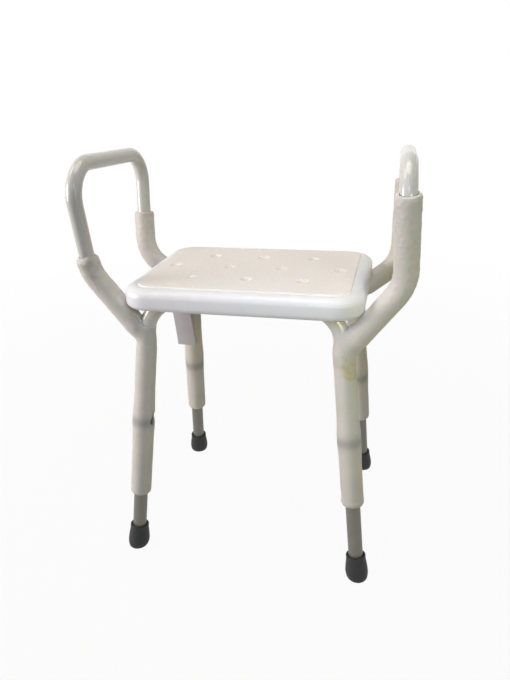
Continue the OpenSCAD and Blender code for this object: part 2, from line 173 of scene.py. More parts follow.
def plain_finish(name, settings, tint, relief, limits=None):
    """One tint (scale, detail, two colours) and one relief (scale, detail, height, strength)."""
    material, tree, shader, place = new_finish(name, settings)
    scale, detail, low, high = tint
    clouds = grain(tree, place, scale, detail)
    if limits:
        clouds = ramp(tree, clouds, *limits)
    tree.links.new(colour_between(tree, clouds, low, high), shader.inputs["Base Color"])
    scale, detail, height, strength = relief
    bump_from(tree, shader, grain(tree, place, scale, detail), height, strength)
    return material


# %% [markdown]
# ### Seat plastic
# The seat is blow-moulded high-density polyethylene. Its rim was smooth in the mould, so it is glossy with a
# faint ripple. The raised panel has a fine leather grain, which scatters the light and looks duller. Its
# colours are also warmer than the rim's: that warmth is painted warm light on the upward panel, since rim and
# panel are one white plastic. One material does both: a mesh attribute says how far a point is onto the
# panel. Real leather grain is about 1.2 mm; it is drawn at 2 mm so that it shows.

# %% Blow-moulded polyethylene
seat_plastic, tree, shader, place = new_finish(
    "hdpe_blow_moulded", {"IOR": 1.54, "Subsurface Weight": 0.05, "Subsurface Scale": 0.004})
panel = painted(tree, "panel")
ripple = grain(tree, place, 60)
cells = add_node(tree, "ShaderNodeTexVoronoi", {"Scale": 480.0, "Randomness": 1.0}, {"Vector": place})
pebble = ramp(tree, cells.outputs["Distance"], 0.05, 0.65)
fine = grain(tree, place, 1500, 3)
smooth_colour = colour_between(tree, ripple, "#F0EEEE", "#E9E7E9")
speckle = arithmetic(tree, "MULTIPLY_ADD", pebble, 0.9, 0.05)
warm = grain(tree, place, 5, 1)
# Painted warm light: the panel's colours are warmer than the rim's, and the speckle between them is the real
# grain.
warm_lit_grain_low = colour_between(tree, warm, "#FCF7F2", "#F9F1EC")
warm_lit_grain_high = colour_between(tree, warm, "#F0E7E0", "#F0E5DD")
grain_and_warm_light = colour_between(tree, speckle, warm_lit_grain_low, warm_lit_grain_high)
tree.links.new(colour_between(tree, panel, smooth_colour, grain_and_warm_light), shader.inputs["Base Color"])
tree.links.new(ramp(tree, panel, 0, 1, 0.38, 0.52), shader.inputs["Roughness"])
pebble_here = arithmetic(tree, "MULTIPLY", pebble, panel)
relief = arithmetic(tree, "MULTIPLY_ADD", fine, 0.25, pebble_here)
bump_from(tree, shader, relief, 0.35 * MM, 0.85)
print("made", seat_plastic.name)

# %% [markdown]
# ### Powder coat
# The frames and arms are aluminium tube under a white powder coat. Melted powder levels out into a
# glossy skin with a very slight orange peel, drawn here as a low, 2 mm wide wave.

# %% White powder coat
powder_coat = plain_finish(
    "powder_coat_white", {"Roughness": 0.22, "IOR": 1.5, "Coat Weight": 0.4, "Coat Roughness": 0.08},
    (14, 2, "#D8D5CE", "#D0CDC6"), (450, 1, 0.06 * MM, 0.5))

# %% [markdown]
# ### Metals
# The inner legs are drawn aluminium, satin anodised: a grey metal with fine lines along the tube.
# The clips, screws, washers and discs are zinc-plated steel, and the inserts are turned brass.

# %% Satin aluminium, zinc-plated steel and brass
satin_aluminium, tree, shader, place = new_finish(
    "aluminium_satin_anodised", {"Metallic": 0.6, "Roughness": 0.42})
stretched = add_node(tree, "ShaderNodeMapping", {"Scale": (900, 900, 12)}, {"Vector": place})
lines = grain(tree, stretched.outputs["Vector"], 1, 3)
cloud = grain(tree, place, 30, 2)
tree.links.new(colour_between(tree, cloud, "#85827A", "#74716A"), shader.inputs["Base Color"])
tree.links.new(ramp(tree, lines, 0, 1, 0.36, 0.5), shader.inputs["Roughness"])
bump_from(tree, shader, lines, 0.03 * MM, 0.6)

zinc_steel = plain_finish("steel_zinc_plated", {"Metallic": 1.0, "Roughness": 0.35},
                          (700, 3, "#C4C6C8", "#A9ABAD"), (700, 3, 0.02 * MM, 0.5))
brass = plain_finish("brass_turned", {"Metallic": 1.0, "Roughness": 0.3},
                     (900, 2, "#D2B26A", "#B8964E"), (900, 2, 0.02 * MM, 0.5))

# %% [markdown]
# ### Dark mouldings
# The feet are moulded rubber: charcoal, dull, with a dusty bloom. The collars and liners are
# black nylon, a little smoother.

# %% Rubber and nylon
rubber = plain_finish("rubber_moulded_charcoal", {"Roughness": 0.62, "IOR": 1.52},
                      (120, 4, "#151618", "#242524"), (1300, 3, 0.08 * MM, 0.6), limits=(0.35, 0.75))
nylon = plain_finish("nylon_moulded_black", {"Roughness": 0.48, "IOR": 1.53},
                     (900, 3, "#1F2022", "#2D2E30"), (900, 3, 0.05 * MM, 0.5))

# %% [markdown]
# ### Foam
# The sleeves are expanded polyethylene, a milky foam with closed cells under a thin skin. Light goes a few
# millimetres in, so it gets some subsurface scattering. Where a dark collar sits behind it, a soft grey band
# of painted shade darkens the foam's colour, a little off the collar; that band is a mesh attribute too, as
# is the stain that old tape leaves. The cells are 1 to 2 mm and make a faint dimpled texture, and the skin
# has fine rings across the tube, where it left the die.

# %% Expanded polyethylene foam
foam, tree, shader, place = new_finish(
    "epe_foam", {"Roughness": 0.5, "IOR": 1.4, "Subsurface Weight": 0.25, "Subsurface Scale": 0.006,
                 "Sheen Weight": 0.15})
cells = add_node(tree, "ShaderNodeTexVoronoi", {"Scale": 520.0}, {"Vector": place})
skin = grain(tree, place, 90, 4)
mottle = grain(tree, place, 22, 3)
milky = colour_between(tree, mottle, "#DED8D1", "#CFC9C0")
# Painted shade: a grey band over the hidden collar darkens the foam's colour.
shadow = painted(tree, "collar_shadow")
banded = colour_between(tree, shadow, milky, "#8D8E90")
stain = painted(tree, "tape_stain")
blotch = ramp(tree, grain(tree, place, 110, 4), 0.3, 0.64)
stained = colour_between(tree, arithmetic(tree, "MULTIPLY", stain, blotch), banded, "#C9BE86")
tree.links.new(stained, shader.inputs["Base Color"])
squashed = add_node(tree, "ShaderNodeMapping", {"Scale": (55, 55, 330)}, {"Vector": place})
wrinkles = grain(tree, squashed.outputs["Vector"], 1, 3)
first = bump_from(tree, shader, skin, 1.2 * MM, 0.7)
second = bump_from(tree, shader, wrinkles, 0.8 * MM, 0.8, under=first)
bump_from(tree, shader, cells.outputs["Distance"], 0.25 * MM, 0.5, under=second)

# %% [markdown]
# ### Card, nylon tie and tape
# The tag is coated card with a slight grey tooth, and the tie that holds it is natural nylon,
# which is white and a little waxy. Clear packing tape is a thin glossy film that yellows with age.

# %% Card, natural nylon and clear tape
card = plain_finish("card_coated", {"Roughness": 0.55, "IOR": 1.45},
                    (40, 2, "#C9C5CE", "#B9B4BD"), (800, 3, 0.05 * MM, 0.4))
natural_nylon = plain_finish(
    "nylon_natural", {"Roughness": 0.4, "IOR": 1.53, "Subsurface Weight": 0.1, "Subsurface Scale": 0.002},
    (700, 2, "#EBE9E2", "#DFDCD3"), (700, 2, 0.04 * MM, 0.5))

clear_tape, tree, shader, place = new_finish(
    "packing_tape_clear", {"Roughness": 0.1, "IOR": 1.5, "Coat Weight": 0.5, "Coat Roughness": 0.05})
wrinkle = grain(tree, place, 190, 3)
age = ramp(tree, grain(tree, place, 60, 3), 0.35, 0.7)
tree.links.new(colour_between(tree, age, "#DAD3AA", "#E7E4D8"), shader.inputs["Base Color"])
tree.links.new(ramp(tree, age, 0, 1, 0.1, 0.03), shader.inputs["Alpha"])
bump_from(tree, shader, wrinkle, 0.6 * MM, 0.7)
print("materials:", len(bpy.data.materials))

# %% [markdown]
# ### Finishes on the CAD nodes
# Nodes whose shape is already right keep it. We only swap the material in their slots.

# %% Give the CAD nodes their finish
finish_of_slot = {
    "seat_plastic": seat_plastic, "insert_brass": brass, "dark_plastic": nylon, "steel": zinc_steel,
    "frame_coat": powder_coat, "leg_aluminium": satin_aluminium, "foot_rubber": rubber, "foam": foam,
    "card": card, "tie_nylon": natural_nylon,
}
slot_of_node = {row["node"]: row["material_slot"] for row in frame["record"]["subparts"]}
for name, node in frame["nodes"].items():
    for material_slot in node.material_slots:
        material_slot.material = finish_of_slot[slot_of_node[name]]
print("finished nodes:", len(slot_of_node))


# %% [markdown]
# ## Small helpers for meshes
# A finished piece is a mesh whose vertices are already in place, on an object at the origin. The helper makes
# that object, gives it its material, hangs it on its body and hides the CAD nodes it stands for.

# %% Helpers for pieces
def add_piece(name, mesh, material, slot, body, *stands_for):
    piece = placed(name, mesh)
    mesh.materials.clear()
    mesh.materials.append(material)
    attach(piece, body)
    if stands_for:
        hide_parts(*stands_for)
    return piece


def set_attribute(mesh, name, values):
    layer = mesh.attributes.new(name, "FLOAT", "POINT")
    layer.data.foreach_set("value", values)


def mesh_of(b, name):
    """What a builder holds, as a mesh. The builder is then used up."""
    mesh = bpy.data.meshes.new(name)
    b.to_mesh(mesh)
    b.free()
    return mesh


def join_rows(b, rows, closed=True):
    """Adds rows of points, and the faces between each row and the next, all round if closed."""
    made = [[b.verts.new(point) for point in row] for row in rows]
    for low, high in zip(made, made[1:]):
        for k in range(len(low) if closed else len(low) - 1):
            n = (k + 1) % len(low)
            b.faces.new((low[k], low[n], high[n], high[k]))
    return made


def closed_skin(name, rows, first_cap=True, last_cap=True, merge=0.0):
    """A closed mesh from rings of points. Points nearer than merge become one."""
    b = bmesh.new()
    rings = join_rows(b, rows)
    if first_cap:
        b.faces.new(reversed(rings[0]))
    if last_cap:
        b.faces.new(rings[-1])
    if merge:
        bmesh.ops.remove_doubles(b, verts=b.verts, dist=merge)
        print("open edges of", name + ":", sum(len(e.link_faces) != 2 for e in b.edges))
    bmesh.ops.recalc_face_normals(b, faces=b.faces)
    return mesh_of(b, name)


def soften(mesh, sharp_from):
    """Smooth shading, except over edges that turn by more than so many degrees."""
    mesh.shade_smooth()
    mesh.set_sharp_from_angle(angle=math.radians(sharp_from))


def modify(thing, kind, **settings):
    modifier = thing.modifiers.new("change", kind)
    for name, value in settings.items():
        setattr(modifier, name, value)


def settled(thing, *others):
    """The mesh that an object's modifiers make. It and the other objects are then removed."""
    depsgraph = bpy.context.evaluated_depsgraph_get()
    mesh = bpy.data.meshes.new_from_object(thing.evaluated_get(depsgraph))
    for used in (thing, *others):
        bpy.data.objects.remove(used)
    return mesh


def smooth_step(low, high, x):
    """0 at low, 1 at high, with an easy start and end between."""
    t = max(0.0, min(1.0, (x - low) / (high - low)))
    return t * t * (3 - 2 * t)


def bell(x, middle, width):
    """1 in the middle, and falling to nothing on both sides."""
    return math.exp(-((x - middle) / width) ** 2)


# %% [markdown]
# ## Lines of the legs and arms
# The foam follows the tubes, and the seat has channels for them, so we need the tubes' centre
# lines. A leg is a leaning straight line, and a leg frame is two legs with a crossing between. An
# arm is a chain of corner points. Every corner has a round bend.

# %% Centre lines
FRONT_FOOT, FRONT_LEAN = Vector((0.2105, -0.168, 0)), Vector((-0.097, 0.126, 1))
REAR_FOOT, REAR_LEAN = Vector((0.198, 0.168, 0)), Vector((-0.065, -0.116, 1))
seat_low, seat_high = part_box("seat_shell")
CROSS_Z = seat_low.z + 9 * MM
FRAME_BEND_R = 64 * MM
ARM_BEND_R = 70 * MM
# The height of an arm's root on its leg, and the arm's next two corners on the right side
ARM_CORNERS = {"front": (0.414, (0.259, -0.117, 0.532), (0.251, -0.157, 0.710)),
               "rear": (0.437, (0.251, 0.097, 0.508), (0.251, 0.120, 0.701))}


def mirrored(v, side):
    return Vector((v.x * side, v.y, v.z))


def side_of(end):
    return 1 if "right" in end else -1


def leg_line(end):
    """Foot point on the floor, and the unit direction up the leg."""
    foot, lean = (FRONT_FOOT, FRONT_LEAN) if "front" in end else (REAR_FOOT, REAR_LEAN)
    return mirrored(foot, side_of(end)), mirrored(lean, side_of(end)).normalized()


def leg_at_height(end, z):
    foot, up = leg_line(end)
    return foot + up * (z / up.z)


def frame_corners(end, low):
    """A leg frame, from one leg at a height, over its crossing, to the other leg."""
    other = end.replace("left", "RIGHT").replace("right", "left").replace("RIGHT", "right")
    return [leg_at_height(end, low), leg_at_height(end, CROSS_Z),
            leg_at_height(other, CROSS_Z), leg_at_height(other, low)]


def arm_corners(end):
    """Corners of the arm's lower part, from the leg up to the hand rail."""
    root, *corners = ARM_CORNERS[end.split("_")[0]]
    return [leg_at_height(end, root), *(mirrored(Vector(corner), side_of(end)) for corner in corners)]


# %% A chain of corners with round bends
def rounded_path(corners, bend_r, step):
    """Points a step apart along a chain of corners, with every inner corner rounded."""
    points = []

    def straight(p, q):
        count = max(1, round((q - p).length / step))
        points.extend(p.lerp(q, i / count) for i in range(count))

    start = corners[0]
    for a, b, c in zip(corners, corners[1:], corners[2:]):
        into, out = (b - a).normalized(), (c - b).normalized()
        turn = into.angle(out)
        cut = bend_r * math.tan(turn / 2)
        inward = (out - into * into.dot(out)).normalized()
        centre = b - into * cut + inward * bend_r
        straight(start, b - into * cut)
        count = max(2, round(turn * bend_r / step))
        for i in range(count):
            angle = turn * i / count
            points.append(centre - inward * bend_r * math.cos(angle) + into * bend_r * math.sin(angle))
        start = b + out * cut
    straight(start, corners[-1])
    points.append(corners[-1])
    return points


print("front left leg:", leg_line("front_left"))

# %% [markdown]
# ## A tube along a line
# Foam sleeves and the seat's channels are both tubes that follow a line, which is a job for
# Geometry Nodes. The tree takes a curve, sweeps a circle along it, caps its ends, makes the cut
# ends a little ragged, and crinkles the skin with noise. How thick the tube is at each place comes
# from the curve's own radius, so a sleeve can swell, narrow or round off at its ends.

# %% The tube tree
def tube_tree():
    tree = bpy.data.node_groups.new("tube_along_line", "GeometryNodeTree")
    numbers = ("Radius", "Crinkle", "Crinkle Scale", "Ragged", "Seed")
    for label, kind in [("Geometry", "Geometry"), *((n, "Float") for n in numbers), ("Material", "Material")]:
        tree.interface.new_socket(label, in_out="INPUT", socket_type="NodeSocket" + kind)
    tree.interface.new_socket("Geometry", in_out="OUTPUT", socket_type="NodeSocketGeometry")
    given = add_node(tree, "NodeGroupInput").outputs
    along = add_node(tree, "GeometryNodeSplineParameter").outputs["Factor"]
    heading = add_node(tree, "GeometryNodeInputTangent").outputs["Tangent"]
    store = "GeometryNodeStoreNamedAttribute"
    keep_along = add_node(tree, store, {"data_type": "FLOAT", "Name": "along"},
                          {"Geometry": given["Geometry"], "Value": along})
    keep_heading = add_node(tree, store, {"data_type": "FLOAT_VECTOR", "Name": "heading"},
                            {"Geometry": keep_along.outputs["Geometry"], "Value": heading})
    circle = add_node(tree, "GeometryNodeCurvePrimitiveCircle", {"Resolution": 60},
                      {"Radius": given["Radius"]})
    tube = add_node(tree, "GeometryNodeCurveToMesh", {"Fill Caps": True},
                    {"Curve": keep_heading.outputs["Geometry"], "Profile Curve": circle.outputs["Curve"]})
    if "Scale" in tube.inputs:
        own_radius = add_node(tree, "GeometryNodeInputRadius").outputs["Radius"]
        tree.links.new(own_radius, tube.inputs["Scale"])
    place = add_node(tree, "GeometryNodeInputPosition").outputs["Position"]
    normal = add_node(tree, "GeometryNodeInputNormal").outputs["Normal"]
    rough = add_node(tree, "ShaderNodeTexNoise", {"noise_dimensions": "4D", "Detail": 3.0},
                     {"Vector": place, "W": given["Seed"], "Scale": given["Crinkle Scale"]}).outputs["Fac"]
    height = arithmetic(tree, "MULTIPLY", arithmetic(tree, "SUBTRACT", rough, 0.5), given["Crinkle"])
    outward = add_node(tree, "ShaderNodeVectorMath", {"operation": "SCALE"}, {0: normal, "Scale": height})
    cut_noise = add_node(tree, "ShaderNodeTexNoise", {"noise_dimensions": "4D", "Scale": 70.0, "Detail": 2.0},
                         {"Vector": place, "W": given["Seed"]}).outputs["Fac"]
    read = "GeometryNodeInputNamedAttribute"
    kept = add_node(tree, read, {"data_type": "FLOAT", "Name": "along"}).outputs["Attribute"]
    near_end = arithmetic(tree, "ABSOLUTE", arithmetic(tree, "SUBTRACT", kept, 0.5))
    end_weight = ramp(tree, near_end, 0.42, 0.5)
    shift = arithmetic(tree, "MULTIPLY", arithmetic(tree, "SUBTRACT", cut_noise, 0.5), end_weight)
    shift = arithmetic(tree, "MULTIPLY", shift, given["Ragged"])
    direction = add_node(tree, read, {"data_type": "FLOAT_VECTOR", "Name": "heading"})
    lengthways = add_node(tree, "ShaderNodeVectorMath", {"operation": "SCALE"},
                          {0: direction.outputs["Attribute"], "Scale": shift})
    total = add_node(tree, "ShaderNodeVectorMath", {"operation": "ADD"},
                     {0: outward.outputs[0], 1: lengthways.outputs[0]})
    moved = add_node(tree, "GeometryNodeSetPosition", {},
                     {"Geometry": tube.outputs["Mesh"], "Offset": total.outputs[0]})
    real = add_node(tree, "GeometryNodeRealizeInstances", {}, {"Geometry": moved.outputs["Geometry"]})
    named = add_node(tree, "GeometryNodeSetMaterial", {},
                     {"Geometry": real.outputs["Geometry"], "Material": given["Material"]})
    add_node(tree, "NodeGroupOutput", {}, {"Geometry": named.outputs["Geometry"]})
    return tree


tube_nodes = tube_tree()
sockets = tube_nodes.interface.items_tree
socket_ids = {socket.name: socket.identifier for socket in sockets if socket.in_out == "INPUT"}
print("tube inputs:", list(socket_ids))


# %% [markdown]
# The first helper draws the curve, runs the tree on it, and keeps the result as a plain closed
# mesh. The second one cuts such meshes, or any others, out of a piece with exact Booleans.

# %% Sweep a tube, and cut shapes away
def sweep(points, widths, radius, material, **more):
    """A closed tube along points. widths gives the radius at each point, as a share of radius."""
    curve = bpy.data.curves.new("line", "CURVE")
    curve.dimensions = "3D"
    spline = curve.splines.new("POLY")
    spline.points.add(len(points) - 1)
    for point, where, width in zip(spline.points, points, widths):
        point.co = (*where, 1)
        point.radius = width
    line = placed("line", curve)
    modifier = line.modifiers.new("tube", "NODES")
    modifier.node_group = tube_nodes
    values = {"Radius": radius, "Crinkle": 0.0, "Crinkle Scale": 1.0, "Ragged": 0.0, "Seed": 0.0, **more}
    for label, value in values.items():
        modifier[socket_ids[label.replace("_", " ")]] = value
    modifier[socket_ids["Material"]] = material
    return settled(line)


def joined(meshes):
    b = bmesh.new()
    for part in meshes:
        b.from_mesh(part)
    bmesh.ops.remove_doubles(b, verts=b.verts, dist=0.001 * MM)
    return mesh_of(b, "joined")


def cut_away(mesh, groups):
    """The mesh less each group of cutter meshes. The cutters in one group must not touch."""
    made = [placed("blank", mesh)]
    for group in groups:
        made.append(placed("cutter", joined(group)))
        modify(made[0], "BOOLEAN", operation="DIFFERENCE", solver="EXACT", object=made[-1])
    return settled(*made)


# %% [markdown]
# ## Seat
# On the real seat the plastic was blown against the mould, so every edge is a soft round. We draw
# it as closed rings, each one a rectangle with round corners: from the middle of the underside,
# out over the lower edge, up the side, over the upper edge, across a small groove and step, and in
# over the panel to the middle. Ten dimples are pressed into the panel by lowering ring points.
# Opposite sides of a ring have the same number of points, so the innermost ring folds up into a
# line whose two halves meet point to point, and the skin closes without a seam.

# %% Sizes of the seat
half_w = seat_high.x
half_d = seat_high.y
corner_r = 48 * MM
panel_top = seat_high.z
PANEL_RISE = 2 * MM
rim_top = panel_top - PANEL_RISE
under = seat_low.z
panel_inset = 22 * MM
upper_r = 15 * MM
lower_r = 10 * MM
SIDE_POINTS, CORNER_POINTS, FRONT_POINTS = 74, 30, 106
RING_POINTS = 2 * (SIDE_POINTS + FRONT_POINTS + 2 * CORNER_POINTS)
DIMPLES = [(x * MM, y * MM) for y in (-68, 68) for x in (-95, 0, 95)]
DIMPLES += [(x * MM, 0.0) for x in (-150, -47.5, 47.5, 150)]
DIMPLE_R, DIMPLE_FLAT_R, DIMPLE_DEPTH = 12 * MM, 2.5 * MM, 3.6 * MM
print("seat:", 2 * half_w, 2 * half_d, panel_top - under)


# %% One rounded rectangle
def ring(inset):
    """Points of a rectangle with round corners, drawn in from the seat's outline by inset."""
    r = max(corner_r - inset, 0.0)
    pull = max(inset - corner_r, 0.0)
    sx, sy = half_w - corner_r - pull, max(half_d - corner_r - pull, 0.0)
    corners = [Vector((sx, sy)), Vector((-sx, sy)), Vector((-sx, -sy)), Vector((sx, -sy))]
    points = []
    for quarter in range(4):
        a, b = corners[quarter - 1], corners[quarter]
        turn = quarter * math.pi / 2
        out = Vector((math.cos(turn), math.sin(turn))) * r
        count = SIDE_POINTS if quarter % 2 == 0 else FRONT_POINTS
        points.extend(a.lerp(b, j / count) + out for j in range(count))
        for j in range(CORNER_POINTS):
            angle = turn + math.pi / 2 * j / CORNER_POINTS
            points.append(b + Vector((math.cos(angle), math.sin(angle))) * r)
    return points


# %% [markdown]
# The profile is a list of insets and heights. The two rounds are quarter ellipses, a bit wider
# than high, which is how a blown edge relaxes.

# %% Profile of the seat
def steps(first, last, about):
    """Even steps between two insets, each about so long, both ends included."""
    count = round(abs(last - first) / about)
    return [first + (last - first) * i / count for i in range(count + 1)]


ROUND_STEPS = 12
# The groove and step round the panel: millimetres in from its edge, and up from the rim
GROOVE = [(-1.8, 0), (-1.1, -0.35), (-0.5, -0.5), (0, -0.1), (0.5, 1.0), (1.2, 1.7)]
profile = [(inset, under) for inset in steps(half_d, lower_r, 6 * MM)]
angles = [math.pi / 2 * i / ROUND_STEPS for i in range(1, ROUND_STEPS + 1)]
profile += [(lower_r * (1 - math.sin(a)), under + lower_r * (1 - math.cos(a))) for a in angles]
profile += [((upper_r + 3 * MM) * (1 - math.cos(a)), rim_top - upper_r * (1 - math.sin(a))) for a in angles]
profile += [(panel_inset + across * MM, rim_top + rise * MM) for across, rise in GROOVE]
profile.append((panel_inset + 2.2 * MM, panel_top - 0.06 * MM))
panel_start = len(profile)
profile += [(inset, panel_top) for inset in steps(panel_inset + 3.4 * MM, half_d, 1.9 * MM)]
print("rings:", len(profile), "points:", len(profile) * RING_POINTS)


# %% Build the seat's rings
def dimple(x, y):
    """How deep the panel is pressed in at a point."""
    for cx, cy in DIMPLES:
        d = math.hypot(x - cx, y - cy)
        if d < DIMPLE_R:
            return DIMPLE_DEPTH * (1 - smooth_step(DIMPLE_FLAT_R, DIMPLE_R, d))
    return 0.0


seat_rings = []
for i, (inset, z) in enumerate(profile):
    pressed = i >= panel_start
    seat_rings.append([(x, y, z - dimple(x, y) if pressed else z) for x, y in ring(inset)])
seat_mesh = closed_skin("seat", seat_rings, first_cap=False, last_cap=False, merge=0.02 * MM)

# %% [markdown]
# Underneath, a cone rises to each dimple and welds to it: that is what makes a blown seat stiff.
# Two channels take the crossing tubes, round above and straight below so that a tube drops in.
# There are also four screw holes and one small blow hole. Cutting these with Booleans is simpler
# than steering the rings around them.

# %% Cutters for the underside
def turned(points, centre, count=40):
    """A closed solid turned from (radius, height) points about an upright axis."""
    angles = [2 * math.pi * k / count for k in range(count)]
    rows = [[(centre[0] + r * math.cos(a), centre[1] + r * math.sin(a), z) for a in angles]
            for r, z in points]
    return closed_skin("cutter", rows)


def slot_cutter(centre_y, half_length, half_width, low, high, count=24):
    """A long upright solid with round ends, for the straight lower part of a channel."""
    outline = []
    for side in (1, -1):
        for k in range(count + 1):
            a = math.pi * (k / count - 0.5)
            x = side * (half_length + half_width * math.cos(a))
            outline.append((x, centre_y + side * half_width * math.sin(a)))
    return closed_skin("slot", [[(x, y, z) for x, y in outline] for z in (low, high)])


cone_top = under + 26 * MM
cone = [(22 * MM, under - 2 * MM), (22 * MM, under - 0.01 * MM), (20 * MM, under + 0.6 * MM),
        (18.6 * MM, under + 2 * MM), (9.6 * MM, cone_top - 3 * MM), (8.2 * MM, cone_top - 1 * MM),
        (6 * MM, cone_top)]
screw_hole = [(5.1 * MM, CROSS_Z), (5.1 * MM, panel_top - 4 * MM)]
blow_hole = [(4 * MM, under - 2 * MM), (4 * MM, under + 6 * MM)]
cones = [turned(cone, c) for c in DIMPLES] + [turned(blow_hole, (0, 0))]
CHANNEL_R, SLOT_HALF_LENGTH, SLOT_HALF_WIDTH, SCREW_X = 15.96 * MM, 146 * MM, 17.4 * MM, 88 * MM
channels, slots, screw_holes = [], [], []
for end in ("front_left", "rear_left"):
    line = rounded_path(frame_corners(end, 0.40), FRAME_BEND_R, 4 * MM)
    channels.append(sweep(line, [1.0] * len(line), CHANNEL_R, seat_plastic))
    y = leg_at_height(end, CROSS_Z).y
    slots.append(slot_cutter(y, SLOT_HALF_LENGTH, SLOT_HALF_WIDTH, under - 2 * MM, CROSS_Z))
    screw_holes += [turned(screw_hole, (side * SCREW_X, y)) for side in (-1, 1)]

# %% Cut the underside
cut_mesh = cut_away(seat_mesh, [cones, channels, slots, screw_holes])
cut_mesh.name = "seat"
soften(cut_mesh, 40)


def on_panel(v):
    """1 on the grained panel, 0 on the smooth rim and underside."""
    x = max(abs(v.x) - (half_w - corner_r), 0.0)
    y = max(abs(v.y) - (half_d - corner_r), 0.0)
    if x > 0 and y > 0:
        inset = corner_r - math.hypot(x, y)
    else:
        inset = min(half_w - abs(v.x), half_d - abs(v.y))
    return smooth_step(panel_inset, panel_inset + 1.2 * MM, inset) if v.z > rim_top - 5 * MM else 0.0


set_attribute(cut_mesh, "panel", [on_panel(v.co) for v in cut_mesh.vertices])
add_piece("seat", cut_mesh, seat_plastic, "seat_plastic", "stool", "seat_shell")
print("seat triangles:", sum(len(p.vertices) - 2 for p in cut_mesh.polygons))

# %% [markdown]
# ## Foam sleeves
# At every corner a long sleeve covers the leg and a second one covers the arm. They were wrapped
# tight where they meet, so the two run together in a soft Y. We sweep both as solid rods, fuse
# them with a voxel remesh, melt the crotch into a fillet, and only then cut out the bores.

# %% Sizes of the foam
def each_end(*values, unit=MM):
    """One value for each corner."""
    return {end: value * unit for end, value in zip(ENDS, values)}


ARM_R, LEG_R = 19.0 * MM, 18.6 * MM
COLLAR_AT = 258.5 * MM
STEP = 2 * MM
# Places along the leg, but ARM_TOPS are heights over the floor, in metres
LEG_STARTS, LEG_TOPS = each_end(116, 145, 131, 142), each_end(446, 455, 408, 418)
ARM_TOPS = each_end(0.553, 0.671, 0.591, 0.655, unit=1)
# The width of the melted crotch, and how far the arm's foam rises off the arm's line
MELTS, ARM_LIFTS = each_end(7, 15, 10, 10), each_end(4, 0, 0, 0)
# The arm's foam is squeezed near its root: places along it, and shares of its radius
ROOT_PLACES, ROOT_WIDTHS = (0, 10 * MM, 30 * MM), (0.76, 0.8, 1.0)
# Where the leg's foam narrows near its top: a share, and two places
NARROWINGS = {"front_left": [(0.16, 398 * MM, 430 * MM)],
              "front_right": [(0.14, 402 * MM, 413 * MM), (0.05, 413 * MM, 430 * MM)]}
RIDGE_AT, RIDGE_HALF, PINCH_LENGTH = 153 * MM, 2.5 * MM, 8 * MM
# The leg's bore: a place, and the radius below it
BORES, TOP_BORE = [(246 * MM, 13.6 * MM), (271 * MM, 16.4 * MM), (405 * MM, 14.9 * MM)], 13.3 * MM
ROOT_BORE, ROOT_BORE_LENGTH, ARM_BORE, ARM_BORE_STEP = 14.9 * MM, 26 * MM, 13.25 * MM, 3 * MM
BORE_BELOW, BORE_ABOVE = 6 * MM, 24 * MM
VOXEL = 1.6 * MM
# The creases on each arm: the height where they begin, and their depth
CREASES = dict(zip(ENDS, ((0.49, 0.7), (0.5, 0.9), (0.5, 0.9), (0.52, 0.6))))
BESIDE_ARM, CREASES_GROW = 24 * MM, 20 * MM
RIDGES_ACROSS, RIDGES_UP, LUMPS = 70, 190, 230


def end_rounding(distance, pinch=0.2):
    """The cut end of a foam tube is pinched: its radius shrinks over the last few millimetres."""
    t = min(1.0, max(0.0, distance / PINCH_LENGTH))
    return 1 - pinch * (1 - math.sqrt(1 - (1 - t) ** 2))


def leg_width(end, s):
    """Radius of the leg's sleeve at a place up the leg, as a share of LEG_R."""
    start, top = LEG_STARTS[end], LEG_TOPS[end]
    width = 1.03 - 0.045 * smooth_step(270 * MM, 330 * MM, s)
    width *= 1 + 0.055 * bell(s - COLLAR_AT, 8 * MM, 26 * MM)
    width *= end_rounding(s - start) * end_rounding(top - s, 0.0 if "front" in end else 0.2)
    if end == "rear_left":
        width *= 1.03
    left = 1.0
    for share, low, high in NARROWINGS.get(end, []):
        left -= share * smooth_step(low, high, s)
    width *= left
    if end == "front_right":
        width *= 1 + 0.03 * bell(s, RIDGE_AT, RIDGE_HALF)
    return width


def bore_radius(s):
    """The sleeve hugs the inner leg, then the collar, then the outer tube, closest at the arm."""
    return next((radius for limit, radius in BORES if s < limit), TOP_BORE)


def lengths_along(path, first=0.0):
    """How far along a chain of points each one lies, counted on from first."""
    places = [first]
    for p, q in zip(path, path[1:]):
        places.append(places[-1] + (q - p).length)
    return places


def sleeve_line(end, low, high):
    """Places from low to high along a leg, and on round the first part of its frame's bend."""
    up = leg_line(end)[1]
    path = rounded_path(frame_corners(end, low * up.z), FRAME_BEND_R, STEP)
    path = path[:round((high - low) / STEP) + 1]
    return path, lengths_along(path, low)


# %% [markdown]
# Two distances decide everything in the crotch: how far a point is from the leg's line, and how
# far from the arm's. NumPy finds both for all points at once. A smooth union of the two gives the
# melted surface, and every point slides out to it while it keeps the little ups and downs it had.

# %% Distance and melting
def nearest(points, line):
    """Distance from each point to a chain of points, and the nearest place on the chain."""
    best, near = np.full(len(points), 1e9), np.zeros((len(points), 3))
    for a, b in zip(line, line[1:]):
        origin, along = np.array(a), np.array(b - a)
        t = np.clip((points - origin) @ along / (along @ along), 0, 1)
        place = origin + t[:, None] * along
        distance = np.linalg.norm(points - place, axis=1)
        closer = distance < best
        best[closer], near[closer] = distance[closer], place[closer]
    return best, near


MELT_ROUNDS, LEAST_SLOPE = 4, 0.15


